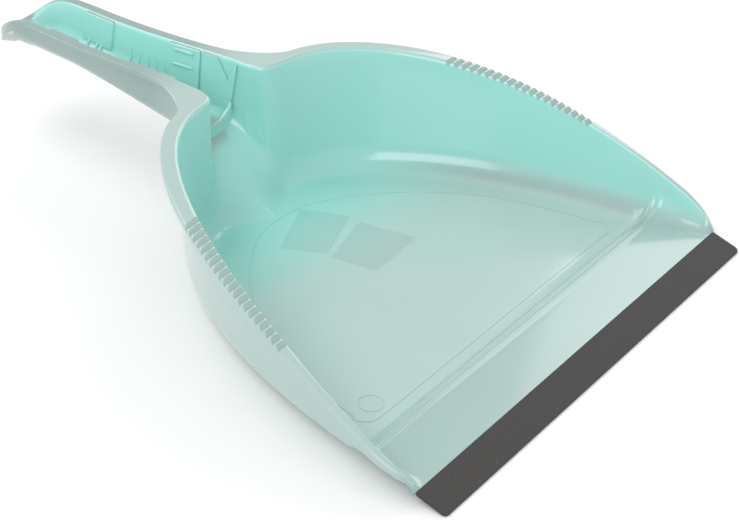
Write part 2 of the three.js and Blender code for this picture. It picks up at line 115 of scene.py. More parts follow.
SPINE_LAG = 24.0
SPINE_LAG_START_Y = 100.0
print("length", round(LENGTH, 1), "mouth at", round(MOUTH_Y, 1))


# %% Small helpers for curves
def lerp(a, b, t):
    return a + (b - a) * t


def clamp(v, low=0.0, high=1.0):
    return max(low, min(high, v))


def smoothstep(v, low, high):
    t = clamp((v - low) / (high - low))
    return t * t * (3 - 2 * t)


def smooth_curve(points, per_gap):
    """A centripetal Catmull-Rom curve through all the points, with per_gap steps between neighbours."""
    pts = np.array(points, dtype=float)
    pts = np.vstack([2 * pts[0] - pts[1], pts, 2 * pts[-1] - pts[-2]])
    made = []
    for i in range(1, len(pts) - 2):
        p0, p1, p2, p3 = pts[i - 1 : i + 3]
        gaps = [max(np.linalg.norm(b - a) ** 0.5, 1e-4) for a, b in ((p0, p1), (p1, p2), (p2, p3))]
        d0, d1, d2 = gaps
        m1 = d1 * ((p1 - p0) / d0 - (p2 - p0) / (d0 + d1) + (p2 - p1) / d1)
        m2 = d1 * ((p2 - p1) / d1 - (p3 - p1) / (d1 + d2) + (p3 - p2) / d2)
        for k in range(per_gap):
            t = k / per_gap
            made.append(
                (2 * t**3 - 3 * t**2 + 1) * p1
                + (t**3 - 2 * t**2 + t) * m1
                + (3 * t**2 - 2 * t**3) * p2
                + (t**3 - t**2) * m2
            )
    made.append(pts[-2])
    return np.array(made)


# %% [markdown]
# ## The heights along the length
#
# Three curves rule the moulding: the rim, which climbs from the mouth and levels out over the handle;
# the floor, which steps down behind the mouth; and the spine, which is the middle line of the chute
# and the handle's channel. Each is a short list of named places, made smooth.

# %% Height curves
shoulder = (lerp(MOUTH_Y, REAR_WALL_Y, 0.5), RIM_HEIGHT - 7)
rim_ends = ((MOUTH_Y, MOUTH_RIM_HEIGHT), (REAR_WALL_Y - 10, RIM_HEIGHT))
steps = np.linspace(0, 1, 61)[:, None]
PAN_RIM = (
    (1 - steps) ** 2 * np.array(rim_ends[0])
    + 2 * steps * (1 - steps) * np.array(shoulder)
    + steps**2 * np.array(rim_ends[1])
)


def rim_height(y):
    if y > REAR_WALL_Y:
        along = smoothstep(y, REAR_WALL_Y + 10, HANDLE_STRAIGHT_Y)
        past = clamp((y - HANDLE_BEND_Y) / (HANDLE_END_Y - HANDLE_BEND_Y))
        return lerp(RIM_HEIGHT, HANDLE_RIM_HEIGHT, along) - HANDLE_END_DIP * past**3
    nose = clamp(1 - (y - MOUTH_Y) / NOSE_LENGTH)
    return lerp(np.interp(y, PAN_RIM[:, 0], PAN_RIM[:, 1]), PLATEAU_TOP + 0.4, nose**3)


STEP = smooth_curve(
    [
        (STEP_START_Y - 2, PLATEAU_TOP),
        (STEP_START_Y, PLATEAU_TOP),
        (STEP_START_Y + BEAD_SPACING * 0.5, PLATEAU_TOP + BEAD_HEIGHT),
        (STEP_START_Y + BEAD_SPACING, PLATEAU_TOP - 1.1),
        (STEP_START_Y + BEAD_SPACING * 1.5, PLATEAU_TOP - 1.1 + BEAD_HEIGHT),
        (STEP_START_Y + BEAD_SPACING * 2.2, lerp(PLATEAU_TOP, FLOOR_TOP, 0.8)),
        (STEP_END_Y, FLOOR_TOP),
        (STEP_END_Y + 2, FLOOR_TOP),
    ],
    24,
)


def floor_height(y):
    return np.interp(y, STEP[:, 0], STEP[:, 1])


SPINE = smooth_curve(
    [
        (CHUTE_START_Y - 20, FLOOR_TOP),
        (CHUTE_START_Y, FLOOR_TOP),
        (lerp(CHUTE_START_Y, COLLAR_Y, 0.25), lerp(FLOOR_TOP, CHUTE_TOP, 0.14)),
        (lerp(CHUTE_START_Y, COLLAR_Y, 0.75), lerp(FLOOR_TOP, CHUTE_TOP, 0.71)),
        (COLLAR_Y, CHUTE_TOP),
        (COLLAR_Y + 8, CHUTE_TOP + 4),
        (COLLAR_Y + 26, CHUTE_TOP + 6.5),
        (HANDLE_STRAIGHT_Y, HANDLE_FLOOR - 0.7),
        (HANDLE_BEND_Y, HANDLE_FLOOR),
        (HANDLE_END_Y, HANDLE_FLOOR),
    ],
    24,
)


def spine_height(y):
    if y < CHUTE_START_Y:
        return floor_height(y)
    return max(FLOOR_TOP, np.interp(y, SPINE[:, 0], SPINE[:, 1]))


print("rim height at mid pan:", round(rim_height(100), 1))

# %% [markdown]
# ## Guide rows
#
# A row is one section of the moulding, from the middle line out to the rim. Four things fix it: where
# the rim's inner edge is in plan, where its outer edge is, where the wall meets the floor, and where on
# the middle line it starts. Along the pan the rim follows a superellipse, which is rounder than a box
# and squarer than a circle. Round the throat and the handle a few rows are set from the named sizes.


# %% Guide rows
def side_row(rim_y):
    centre_x = THROAT_HALF_WIDTH + THROAT_CORNER
    span_x, span_y = MOUTH_HALF_WIDTH - centre_x, REAR_WALL_Y - MOUTH_Y
    power = 2 / SIDE_ROUNDNESS
    turn = math.asin(((rim_y - MOUTH_Y) / span_y) ** (1 / power))
    across, along = math.cos(turn) ** power, math.sin(turn) ** power
    rim = np.array([centre_x + span_x * across, MOUTH_Y + span_y * along])
    out = np.array([across ** (SIDE_ROUNDNESS - 1) / span_x, along ** (SIDE_ROUNDNESS - 1) / span_y])
    out /= np.linalg.norm(out)
    mouth = smoothstep(rim_y, MOUTH_Y, MOUTH_Y + NOSE_LENGTH * 2)
    width = lerp(RIM_WIDTH_FRONT, RIM_WIDTH_REAR, smoothstep(along, 0.1, 0.8)) * lerp(0.2, 1, mouth)
    rim[0] -= MOUTH_INSET * (1 - mouth)
    lag = SPINE_LAG * smoothstep(rim_y, SPINE_LAG_START_Y, REAR_WALL_Y)
    fillet = lerp(PLATEAU_FILLET, FLOOR_FILLET, smoothstep(rim[1], STEP_START_Y - 12, STEP_END_Y))
    return rim, rim + out * width, rim - out * WALL_BATTER, rim[1] - lag, fillet


def throat_and_handle_rows():
    half, corner, rear = THROAT_HALF_WIDTH, THROAT_CORNER, REAR_WALL_Y
    grip, outer = HANDLE_HALF_WIDTH, HANDLE_HALF_WIDTH + HANDLE_RIM_WIDTH
    bend, bent = HANDLE_BEND_Y, HANDLE_END_Y - HANDLE_BEND_Y
    straight, collar = HANDLE_STRAIGHT_Y, COLLAR_Y
    foot = grip - CHANNEL_DRAFT
    rows = [
        ((half + corner * 0.3, rear + corner * 0.3), (half + 15.5, rear + 11), (half + 6, rear + 0.5),
         CHUTE_START_Y + 10, 13),
        ((half, rear + corner), (half + 10, rear + 19), (half + 1.6, rear + corner - 1), rear + 3, 11),
        ((half - 0.4, collar), (half + 6.2, collar + 10), (half - 1.6, collar), collar - 2, 10),
        ((half - 1.1, collar + 16), (outer + 1.4, collar + 20), (half - 4.2, collar + 16),
         collar + 15, CHANNEL_FILLET),
        ((half - 1.8, collar + 36), (outer + 0.6, collar + 37),
         (half - 1.8 - CHANNEL_DRAFT, collar + 36), collar + 35, CHANNEL_FILLET),
        ((grip, straight), (outer, straight), (foot, straight), straight, CHANNEL_FILLET),
        ((grip, bend), (outer - 0.4, bend + 1), (foot, bend), bend - 1, CHANNEL_FILLET),
        ((grip * 0.9, bend + bent * 0.62), (outer * 0.91, bend + bent * 0.74),
         (grip * 0.7, bend + bent * 0.5), bend + bent * 0.2, 7),
        ((grip * 0.58, bend + bent * 0.92), (outer * 0.6, bend + bent * 1.15),
         (grip * 0.38, bend + bent * 0.8), bend + bent * 0.36, 5),
        ((0, HANDLE_END_Y), (0, HANDLE_END_Y + END_RIM_WIDTH), (0, bend + bent * 0.88),
         bend + bent * 0.45, 4),
    ]
    return [(*(np.array(p, dtype=float) for p in row[:3]), row[3], row[4]) for row in rows]


side_places = [
    MOUTH_Y, MOUTH_Y + 1.5, MOUTH_Y + 4, MOUTH_Y + 8, 30, STEP_START_Y,
    *(STEP_START_Y + BEAD_SPACING * beads for beads in (0.5, 1, 1.5, 2.2)),
    STEP_END_Y, 60, 75, 92, 110, 127, 143, 157, 169, 179, 187, 192, REAR_WALL_Y - 1.6,
]
guides = [side_row(y) for y in side_places] + throat_and_handle_rows()
print(len(guides), "guide rows")

# %% [markdown]
# ## Fine rows
#
# The guide rows are far apart, so a smooth curve is drawn through each of their four points and read
# off several times in each gap. The heights are then looked up from the curves above.

# %% Fine rows
ROWS_PER_GAP = 8


class Row:
    """One fine section: its corner points in 3D, and how round its corners are."""


def fine_rows():
    rims, outers, knees = (smooth_curve([g[i] for g in guides], ROWS_PER_GAP) for i in range(3))
    count = len(rims)
    place = np.arange(count) / ROWS_PER_GAP
    spine_y = np.interp(place, range(len(guides)), [g[3] for g in guides])
    fillets = np.interp(place, range(len(guides)), [g[4] for g in guides])
    rows = []
    for i in range(count):
        row = Row()
        row.rim = np.append(rims[i], rim_height(rims[i][1]))
        row.outer = np.append(outers[i], row.rim[2])
        near_chute = 1 - smoothstep(knees[i][0], THROAT_HALF_WIDTH, THROAT_HALF_WIDTH * 2)
        knee_z = lerp(floor_height(knees[i][1]), spine_height(knees[i][1]), near_chute)
        row.knee = np.append(knees[i], knee_z)
        row.spine = np.array([0, spine_y[i], spine_height(spine_y[i])])
        row.fillet = fillets[i]
        mouth = smoothstep(row.rim[1], MOUTH_Y, MOUTH_Y + NOSE_LENGTH * 2)
        end = smoothstep(row.rim[1], HANDLE_BEND_Y, HANDLE_END_Y)
        row.thickness = RIM_THICKNESS * lerp(0.4, 1, mouth) + (END_RIM_DROP - RIM_THICKNESS) * end
        row.edge_round = lerp(RIM_ROUND, END_RIM_ROUND, end)
        rows.append(row)
    return rows


rows = fine_rows()
print(len(rows), "fine rows")

# %% [markdown]
# ## One section, then the whole skin
#
# Each section is a closed loop: over the floor, up the wall, over the rolled rim and back underneath.
# Its corners are true arcs in a plane, drawn as rational curves. Neighbouring loops are joined with
# quads, the half is mirrored, and the front is closed across the thickness.

# %% Section loops
FILLET_STEPS = 12
ROUND_STEPS = 5
FLOOR_STEPS = 10
OUTER_FILLET_EXTRA = 3.0
KNEE_SHARE, RIM_SHARE, EDGE_SHARE = 0.68, 0.28, 0.48
DOWN = np.array([0, 0, -1.0])


def unit(v):
    return v / max(np.linalg.norm(v), 1e-9)


def round_corner(before, at, after, radius, count, share):
    back, ahead = before - at, after - at
    reach_back, reach_ahead = np.linalg.norm(back), np.linalg.norm(ahead)
    angle = math.acos(clamp(float(unit(back) @ unit(ahead)), -1, 1))
    turn = math.pi - angle
    reach = min(radius * math.tan(turn / 2), reach_back * share, reach_ahead * share)
    start, end = at + unit(back) * reach, at + unit(ahead) * reach
    weight = math.cos(turn / 2)
    points = []
    for i in range(count + 1):
        t = i / count
        parts = ((1 - t) ** 2, 2 * t * (1 - t) * weight, t**2)
        points.append((parts[0] * start + parts[1] * at + parts[2] * end) / sum(parts))
    return points


def between(a, b, count):
    return [lerp(a, b, (i + 1) / (count + 1)) for i in range(count)]


def flat_unit(v):
    return unit(v * np.array([1, 1, 0]))


def section_loop(row):
    out = flat_unit(row.outer - row.rim)
    outer_low = row.outer + DOWN * row.thickness
    wall_top = row.rim + out * WALL + DOWN * row.thickness
    knee_low = row.knee + flat_unit(row.rim - row.knee) * WALL + DOWN * WALL
    spine_low = row.spine + DOWN * WALL
    knee_round = round_corner(row.spine, row.knee, row.rim, row.fillet, FILLET_STEPS, KNEE_SHARE)
    rim_round = round_corner(row.knee, row.rim, row.outer, RIM_ROUND, ROUND_STEPS, RIM_SHARE)
    edge_round = round_corner(row.rim, row.outer, outer_low, row.edge_round, ROUND_STEPS, EDGE_SHARE)
    low_fillet = row.fillet + OUTER_FILLET_EXTRA
    low_round = round_corner(wall_top, knee_low, spine_low, low_fillet, FILLET_STEPS, KNEE_SHARE)
    return [
        row.spine, *between(row.spine, knee_round[0], FLOOR_STEPS), *knee_round,
        *between(knee_round[-1], rim_round[0], 3), *rim_round, *edge_round,
        outer_low, wall_top,
        *low_round, *between(low_round[-1], spine_low, FLOOR_STEPS), spine_low,
    ]


# %% Build the skin
def to_frame(p):
    return Vector((p[0] * MM, (p[1] + TIP_Y) * MM, p[2] * MM))


def new_object(name, bm):
    bmesh.ops.remove_doubles(bm, verts=bm.verts, dist=1e-7)
    bmesh.ops.recalc_face_normals(bm, faces=bm.faces)
    mesh = bpy.data.meshes.new(name)
    bm.to_mesh(mesh)
    bm.free()
    obj = bpy.data.objects.new(name, mesh)
    bpy.context.scene.collection.objects.link(obj)
    return obj


def build_skin():
    loops = [section_loop(row) for row in rows]
    bm = bmesh.new()
    for side in (1, -1):
        grid = [[bm.verts.new(to_frame(p * np.array([side, 1, 1]))) for p in loop] for loop in loops]
        for near, far in zip(grid, grid[1:]):
            for i in range(len(near) - 1):
                bm.faces.new((near[i], near[i + 1], far[i + 1], far[i]))
        bm.faces.new(grid[0])
    bmesh.ops.remove_doubles(bm, verts=bm.verts, dist=1e-7)
    bmesh.ops.dissolve_degenerate(bm, edges=bm.edges, dist=1e-7)
    return new_object("pan_moulding", bm)


pan = build_skin()
print("skin:", len(pan.data.vertices), "vertices")

# %% [markdown]
# ## A tree that repeats a bar
#
# The grip comb is a row of twenty straight grooves, cut by bars. One Geometry Nodes tree makes them: it
# stands a bar on every point of a guide line. The inputs are the bar's length, width, height and
# number of sides.


# %% The bar tree
def bar_tree():
    tree = bpy.data.node_groups.new("bars on points", "GeometryNodeTree")
    face = tree.interface
    face.new_socket("Guide", in_out="INPUT", socket_type="NodeSocketGeometry")
    for name in ("Length", "Width", "Height"):
        socket = face.new_socket(name, in_out="INPUT", socket_type="NodeSocketFloat")
        socket.min_value = 0
    face.new_socket("Sides", in_out="INPUT", socket_type="NodeSocketInt")
    face.new_socket("Material", in_out="INPUT", socket_type="NodeSocketMaterial")
    face.new_socket("Bars", in_out="OUTPUT", socket_type="NodeSocketGeometry")
    node = tree.nodes.new
    source, sink = node("NodeGroupInput"), node("NodeGroupOutput")
    rod = node("GeometryNodeMeshCylinder")
    rod.inputs["Radius"].default_value = 0.5
    rod.inputs["Depth"].default_value = 1
    lie = node("GeometryNodeTransform")
    lie.inputs["Rotation"].default_value = (0, math.pi / 2, 0)
    size = node("ShaderNodeCombineXYZ")
    scale = node("GeometryNodeTransform")
    stand = node("GeometryNodeInstanceOnPoints")
    realize = node("GeometryNodeRealizeInstances")
    paint = node("GeometryNodeSetMaterial")
    link = tree.links.new
    link(source.outputs["Sides"], rod.inputs["Vertices"])
    link(rod.outputs["Mesh"], lie.inputs["Geometry"])
    link(source.outputs["Length"], size.inputs["X"])
    link(source.outputs["Width"], size.inputs["Y"])
    link(source.outputs["Height"], size.inputs["Z"])
    link(lie.outputs["Geometry"], scale.inputs["Geometry"])
    link(size.outputs["Vector"], scale.inputs["Scale"])
    link(source.outputs["Guide"], stand.inputs["Points"])
    link(scale.outputs["Geometry"], stand.inputs["Instance"])
    link(stand.outputs["Instances"], realize.inputs["Geometry"])
    link(realize.outputs["Geometry"], paint.inputs["Geometry"])
    link(source.outputs["Material"], paint.inputs["Material"])
    link(paint.outputs["Geometry"], sink.inputs["Bars"])
    return tree


BAR_TREE = bar_tree()


def row_of_bars(name, places, length, width, height, sides, material=None):
    """Bars across the pan, one at each (y, z) place, as a plain mesh."""
    guide = bpy.data.meshes.new(name + "_guide")
    guide.from_pydata([to_frame((0, y, z)) for y, z in places], [], [])
    holder = bpy.data.objects.new(name + "_holder", guide)
    bpy.context.scene.collection.objects.link(holder)
    modifier = holder.modifiers.new("bars", "NODES")
    modifier.node_group = BAR_TREE
    sockets = {s.name: s.identifier for s in BAR_TREE.interface.items_tree if s.in_out == "INPUT"}
    for key, value in (("Length", length * MM), ("Width", width * MM), ("Height", height * MM)):
        modifier[sockets[key]] = float(value)
    modifier[sockets["Sides"]] = sides
    modifier[sockets["Material"]] = material
    shown = holder.evaluated_get(bpy.context.evaluated_depsgraph_get())
    mesh = bpy.data.meshes.new_from_object(shown)
    mesh.name = name
    bpy.data.objects.remove(holder)
    obj = bpy.data.objects.new(name, mesh)
    bpy.context.scene.collection.objects.link(obj)
    return obj


print("bar tree has", len(BAR_TREE.nodes), "nodes")

# %% [markdown]
# ## Cutting into the skin
#
# The comb, the slot behind the collar and the shallow marks on the floor are cut out with booleans, as
# a mould's cores would leave them. A cutter is an ordinary closed mesh that is thrown away afterwards.


# %% Cutters
def prism(name, outline, low, high):
    """A closed block with the given outline in X and Y, between two heights."""
    bm = bmesh.new()
    bottom, top = ([bm.verts.new(to_frame((x, y, z))) for x, y in outline] for z in (low, high))
    bm.faces.new(bottom)
    bm.faces.new(top)
    for i in range(len(outline)):
        j = (i + 1) % len(outline)
        bm.faces.new((bottom[i], bottom[j], top[j], top[i]))
    return new_object(name, bm)


def cut(target, *cutters):
    """Takes the cutters out of the target for good."""
    for cutter in cutters:
        modifier = target.modifiers.new("cut", "BOOLEAN")
        modifier.operation = "DIFFERENCE"
        modifier.solver = "EXACT"
        modifier.object = cutter
    shown = target.evaluated_get(bpy.context.evaluated_depsgraph_get())
    mesh = bpy.data.meshes.new_from_object(shown)
    target.modifiers.clear()
    old = target.data
    target.data = mesh
    bpy.data.meshes.remove(old)
    for cutter in cutters:
        bpy.data.objects.remove(cutter)


# %% Cut the grip combs
COMB_GROOVES = 20
COMB_FIRST_Y = 81.0
COMB_PITCH = 3.35
COMB_DEPTH = 2.0
CREST = 0.12
COMB_BAR_LENGTH = 260
COMB_BAR_SIDES = 4
comb_ys = [COMB_FIRST_Y + i * COMB_PITCH for i in range(COMB_GROOVES)]
comb_places = [(y, rim_height(y)) for y in comb_ys]
comb = row_of_bars(
    "comb_cutter", comb_places, COMB_BAR_LENGTH, COMB_PITCH - CREST, COMB_DEPTH * 2, COMB_BAR_SIDES
)
cut(pan, comb)
print("after the combs:", len(pan.data.polygons), "faces")

# %% Cut the slot behind the collar
COLLAR_THICKNESS = 1.8
SLOT_WIDTH = 3.0
SLOT_HALF_LENGTH = 9.5
SLOT_LOW, SLOT_TOP = 5, 42.3
slot_front = COLLAR_Y + COLLAR_THICKNESS
slot_outline = [
    (-SLOT_HALF_LENGTH, slot_front), (SLOT_HALF_LENGTH, slot_front),
    (SLOT_HALF_LENGTH, slot_front + SLOT_WIDTH), (-SLOT_HALF_LENGTH, slot_front + SLOT_WIDTH),
]
cut(pan, prism("slot_cutter", slot_outline, SLOT_LOW, SLOT_TOP))

# %% Cut the shallow marks on the floor
MARK_DEPTH = 0.18
MARK_LINE = 0.5
PANEL_INSET = 21.0
PANEL_CORNER = 8.0
PANEL_FRONT_GAP = 2
PANEL_CURVE_START_Y = 90
PANEL_REAR_HALF_WIDTH = THROAT_HALF_WIDTH * 1.7
RING_RADIUS = 5.4
RING_AT = (-79.3, 61.0)


def circle(centre, radius, count=64):
    turns = np.linspace(0, 2 * math.pi, count, endpoint=False)
    return [(centre[0] + radius * math.cos(t), centre[1] + radius * math.sin(t)) for t in turns]


def panel_outline(inset):
    edge = [
        (x - inset, y - inset * smoothstep(y, PANEL_CURVE_START_Y, REAR_WALL_Y))
        for x, y, _ in (row.rim for row in rows)
        if STEP_END_Y < y < REAR_WALL_Y and x > PANEL_REAR_HALF_WIDTH
    ]
    front = STEP_END_Y + PANEL_FRONT_GAP + (inset - PANEL_INSET)
    radius = PANEL_CORNER - (inset - PANEL_INSET)
    turns = np.linspace(-math.pi / 2, 0, 12)
    middle = (edge[0][0] - radius, front + radius)
    corner = [(middle[0] + radius * math.cos(t), middle[1] + radius * math.sin(t)) for t in turns]
    right = corner + [p for p in edge if p[1] > front + radius + 1]
    left = [(-x, y) for x, y in reversed(right)]
    return right + left


def groove_between(name, outer, inner):
    """A cutter for a fine groove: the block inside one outline, less the block inside another."""
    block = prism(name, outer, FLOOR_TOP - MARK_DEPTH, FLOOR_TOP + 1)
    cut(block, prism(name + "_core", inner, FLOOR_TOP - MARK_DEPTH - 1, FLOOR_TOP + 2))
    return block


ring = groove_between("ring", circle(RING_AT, RING_RADIUS), circle(RING_AT, RING_RADIUS - MARK_LINE))
panel = groove_between("panel", panel_outline(PANEL_INSET), panel_outline(PANEL_INSET + MARK_LINE))
cut(pan, ring, panel)
print("after the marks:", len(pan.data.polygons), "faces")

# %% [markdown]
# ## Materials
#
# The moulding is mint polypropylene: glossy, very slightly clouded, with a faint unevenness that breaks
# up the reflections as real moulded plastic does. The real moulding is presumably one plastic. Its
# walls look teal, its thin floor whitish and its outside grey, most likely because it lets some light
# through and reflects what stands round it. Subsurface scattering and a fuller studio could show that.
# Here the base colour has five tones instead, chosen by place and by the way a face points: the teal of
# the plastic, painted light on the thin floor, painted shade on the raised floor behind the mouth, a
# painted reflection greying the outside and the rim, and painted shade on the handle's outside. They
# are a look, not five plastics, and suit this studio's light: another light wants one colour all over.
# The lip is matt dark rubber with fine dust-like specks and a soft bump. Both materials read Object
# coordinates, which are the frame's own metres.


# %% Materials
def material(name, colour, roughness):
    made = bpy.data.materials.new(name)
    made.use_nodes = True
    shader = made.node_tree.nodes["Principled BSDF"]
    shader.inputs["Base Color"].default_value = (*colour, 1)
    shader.inputs["Roughness"].default_value = roughness
    return made, shader


def add_noise(made, scale, detail):
    nodes, links = made.node_tree.nodes, made.node_tree.links
    place = nodes.new("ShaderNodeTexCoord")
    noise = nodes.new("ShaderNodeTexNoise")
    noise.inputs["Scale"].default_value = scale
    noise.inputs["Detail"].default_value = detail
    links.new(place.outputs["Object"], noise.inputs["Vector"])
    return noise.outputs["Fac"]


def ramp(made, fac, stops):
    node = made.node_tree.nodes.new("ShaderNodeValToRGB")
    made.node_tree.links.new(fac, node.inputs["Fac"])
    for i, (place, colour) in enumerate(stops):
        stop = node.color_ramp.elements[i] if i < 2 else node.color_ramp.elements.new(place)
        stop.position = place
        stop.color = (*colour, 1)
    return node.outputs["Color"]


def bump(made, shader, fac, strength, distance):
    node = made.node_tree.nodes.new("ShaderNodeBump")
    node.inputs["Strength"].default_value = strength
    node.inputs["Distance"].default_value = distance
    made.node_tree.links.new(fac, node.inputs["Height"])
    made.node_tree.links.new(node.outputs["Normal"], shader.inputs["Normal"])


# %% The tones of the moulding: painted light, shade and reflection
INNER_MINT = (0.37, 0.76, 0.70)
# Painted light: the thin floor lit through from the white ground under it.
BACKLIT_FLOOR_MINT = (0.43, 0.57, 0.54)
# Painted shade: the raised floor behind the mouth, with no white ground lighting it from under.
SHADED_RAISED_FLOOR_MINT = (0.34, 0.46, 0.44)
# Painted reflection: the outside and the rim greyed by the white surroundings.
OUTSIDE_REFLECTION_MINT = (0.40, 0.54, 0.51)
# Painted shade: the handle's outside.
SHADED_HANDLE_MINT = (0.26, 0.37, 0.35)
# Each fade runs from its first value to its second, in the frame's metres.
# These fades place the painted light, shade and reflection in the base colour.
REAR_WALL_ALONG = (0.05, 0.02)
FRONT_RIM_ALONG = (-0.07, -0.11)
FRONT_RIM_UP = (0.006, 0.012)
RIM_UP = (0.02, 0.035)
FLOOR_UP = (0.014, 0.003)
FLOOR_ALONG = (0.012, -0.055)
RAISED_FLOOR_UP = (0.002, 0.0045)
HANDLE_ALONG = (0.035, 0.075)
OUTWARD_SHARE = (0.2, 0.6)


def math_node(made, operation, *values):
    node = made.node_tree.nodes.new("ShaderNodeMath")
    node.operation = operation
    for socket, value in zip(node.inputs, values):
        if isinstance(value, (int, float)):
            socket.default_value = value
        else:
            made.node_tree.links.new(value, socket)
    return node.outputs[0]


def fade(made, value, start, end):
    """0 where the value is at start, 1 where it is at end, smooth between."""
    node = made.node_tree.nodes.new("ShaderNodeMapRange")
    node.interpolation_type = "SMOOTHSTEP"
    node.inputs["From Min"].default_value = start
    node.inputs["From Max"].default_value = end
    made.node_tree.links.new(value, node.inputs["Value"])
    return node.outputs["Result"]


def blend_colours(made, factor, first, second):
    node = made.node_tree.nodes.new("ShaderNodeMix")
    node.data_type = "RGBA"
    links = made.node_tree.links
    links.new(factor, node.inputs[0])
    for socket, colour in ((node.inputs[6], first), (node.inputs[7], second)):
        if isinstance(colour, tuple):
            socket.default_value = (*colour, 1)
        else:
            links.new(colour, socket)
    return node.outputs[2]


def mint_tones(made, strength):
    """A base colour in tones, standing in for light inside the plastic and for reflections.

    Teal inside the walls, painted light on the thin floor where it lies on the white ground, a painted
    reflection greying the outside and the rim, and painted shade on the raised floor behind the mouth
    and on the handle's outside. The real moulding is one plastic.
    """
    nodes, links = made.node_tree.nodes, made.node_tree.links
    source = nodes.new("ShaderNodeTexCoord")
    at, facing = nodes.new("ShaderNodeSeparateXYZ"), nodes.new("ShaderNodeSeparateXYZ")
    links.new(source.outputs["Object"], at.inputs[0])
    links.new(source.outputs["Normal"], facing.inputs[0])
    across, along, up = at.outputs
    # The outward mask: faces pointing outwards or backwards, and the rim, take the painted reflection.
    side = math_node(made, "MULTIPLY", math_node(made, "SIGN", across), facing.outputs[0])
    backward = math_node(made, "MAXIMUM", facing.outputs[1], 0)
    rear = math_node(made, "MULTIPLY", fade(made, along, *REAR_WALL_ALONG), backward)
    front_rim = math_node(
        made, "MULTIPLY", fade(made, along, *FRONT_RIM_ALONG), fade(made, up, *FRONT_RIM_UP)
    )
    up_here = math_node(made, "MAXIMUM", fade(made, up, *RIM_UP), front_rim)
    high = math_node(made, "MULTIPLY", up_here, math_node(made, "ABSOLUTE", facing.outputs[2]))
    outward = math_node(made, "ADD", math_node(made, "ADD", side, rear), high)
    # Painted light on the low floor, stronger towards the mouth.
    low = fade(made, up, *FLOOR_UP)
    backlit_floor_share = math_node(made, "MULTIPLY", low, fade(made, along, *FLOOR_ALONG))
    # Scaled tones: the teal, the floor's painted light, the raised floor's painted shade, the outside's
    # painted reflection, the handle's painted shade.
    inner, backlit_floor_tone, shaded_raised_floor, outer, handle = (
        tuple(c * strength for c in tone)
        for tone in (INNER_MINT, BACKLIT_FLOOR_MINT, SHADED_RAISED_FLOOR_MINT, OUTSIDE_REFLECTION_MINT, SHADED_HANDLE_MINT)
    )
    # Painted shade on the raised floor, blended with the painted light of the low floor.
    floor = blend_colours(made, fade(made, up, *RAISED_FLOOR_UP), backlit_floor_tone, shaded_raised_floor)
    inside = blend_colours(made, backlit_floor_share, inner, floor)
    # Painted shade on the handle's outside, towards its end.
    outside = blend_colours(made, fade(made, along, *HANDLE_ALONG), outer, handle)
    # Painted reflection on outward faces and the rim, over the inside tones.
    return blend_colours(made, fade(made, outward, *OUTWARD_SHARE), inside, outside)


# %% The plastic and the rubber
PLASTIC_IOR = 1.49
COAT_WEIGHT, COAT_ROUGHNESS = 0.5, 0.07
CLOUD_SCALE, CLOUD_DETAIL = 14, 2
RIPPLE_SCALE, RIPPLE_DETAIL = 45, 1
RIPPLE_STRENGTH, RIPPLE_DEPTH = 0.08, 0.0004
RUBBER = (0.034, 0.032, 0.030)
WORN_RUBBER = (0.038, 0.036, 0.034)
SPECK = (0.11, 0.105, 0.10)


def mint_plastic(name, strength, roughness):
    made, shader = material(name, INNER_MINT, roughness)
    shader.inputs["IOR"].default_value = PLASTIC_IOR
    shader.inputs["Coat Weight"].default_value = COAT_WEIGHT
    shader.inputs["Coat Roughness"].default_value = COAT_ROUGHNESS
    noise = add_noise(made, CLOUD_SCALE, CLOUD_DETAIL)
    cloud = ramp(made, noise, [(0.3, (0.96, 0.96, 0.96)), (0.7, (1, 1, 1))])
    node = made.node_tree.nodes.new("ShaderNodeMix")
    node.data_type = "RGBA"
    node.blend_type = "MULTIPLY"
    node.inputs[0].default_value = 1
    links = made.node_tree.links
    links.new(mint_tones(made, strength), node.inputs[6])
    links.new(cloud, node.inputs[7])
    links.new(node.outputs[2], shader.inputs["Base Color"])
    ripple = add_noise(made, RIPPLE_SCALE, RIPPLE_DETAIL)
    bump(made, shader, ripple, RIPPLE_STRENGTH, RIPPLE_DEPTH)
    return made


def lip_rubber():
    made, shader = material("soft rubber", RUBBER, 0.62)
    specks = ramp(made, add_noise(made, 900, 3), [(0.0, RUBBER), (0.66, WORN_RUBBER), (0.78, SPECK)])
    made.node_tree.links.new(specks, shader.inputs["Base Color"])
    bump(made, shader, add_noise(made, 1500, 2), 0.25, 0.0001)
    return made


pan_plastic = mint_plastic("mint polypropylene", 1.0, 0.18)
mark_plastic = mint_plastic("mint polypropylene, etched", 0.88, 0.3)
rubber = lip_rubber()
print("materials:", pan_plastic.name, "|", mark_plastic.name, "|", rubber.name)

# %% [markdown]
# ## Raised details
#
# Small ribs run up both sides of the channel: each is a low bar swept along the section of the skin,
# fading out at its ends. The pads that line the handle are slabs that follow the inside of its walls,
# so they are built from the same rows as the skin, pushed inwards.

# %% Ribs in the channel
CHANNEL_RIB_PITCH = 5.0
CHANNEL_RIB_WIDTH = 1.8
CHANNEL_RIB_HEIGHT = 1.3
CHANNEL_RIB_RISE = 11.0
CHANNEL_RIB_FROM_X = 3.0
CHANNEL_RIB_SUNK = 0.2
REAR_RIBS = [292.4 + i * CHANNEL_RIB_PITCH for i in range(3)]
MIDDLE_RIBS = [252.4 + i * CHANNEL_RIB_PITCH for i in range(6)]
RIB_SECTION = [(math.cos(t), math.sin(t)) for t in np.linspace(0, math.pi, 9)]


def rib_path(y):
    """The inside of the channel at this place, from near its middle up to the rib's top."""
    row = min(rows, key=lambda r: abs(r.knee[1] - y))
    inside = section_loop(row)[: FLOOR_STEPS + FILLET_STEPS + 4]
    top = row.spine[2] + CHANNEL_RIB_RISE
    return [p for p in inside if p[0] > CHANNEL_RIB_FROM_X and p[2] < top]


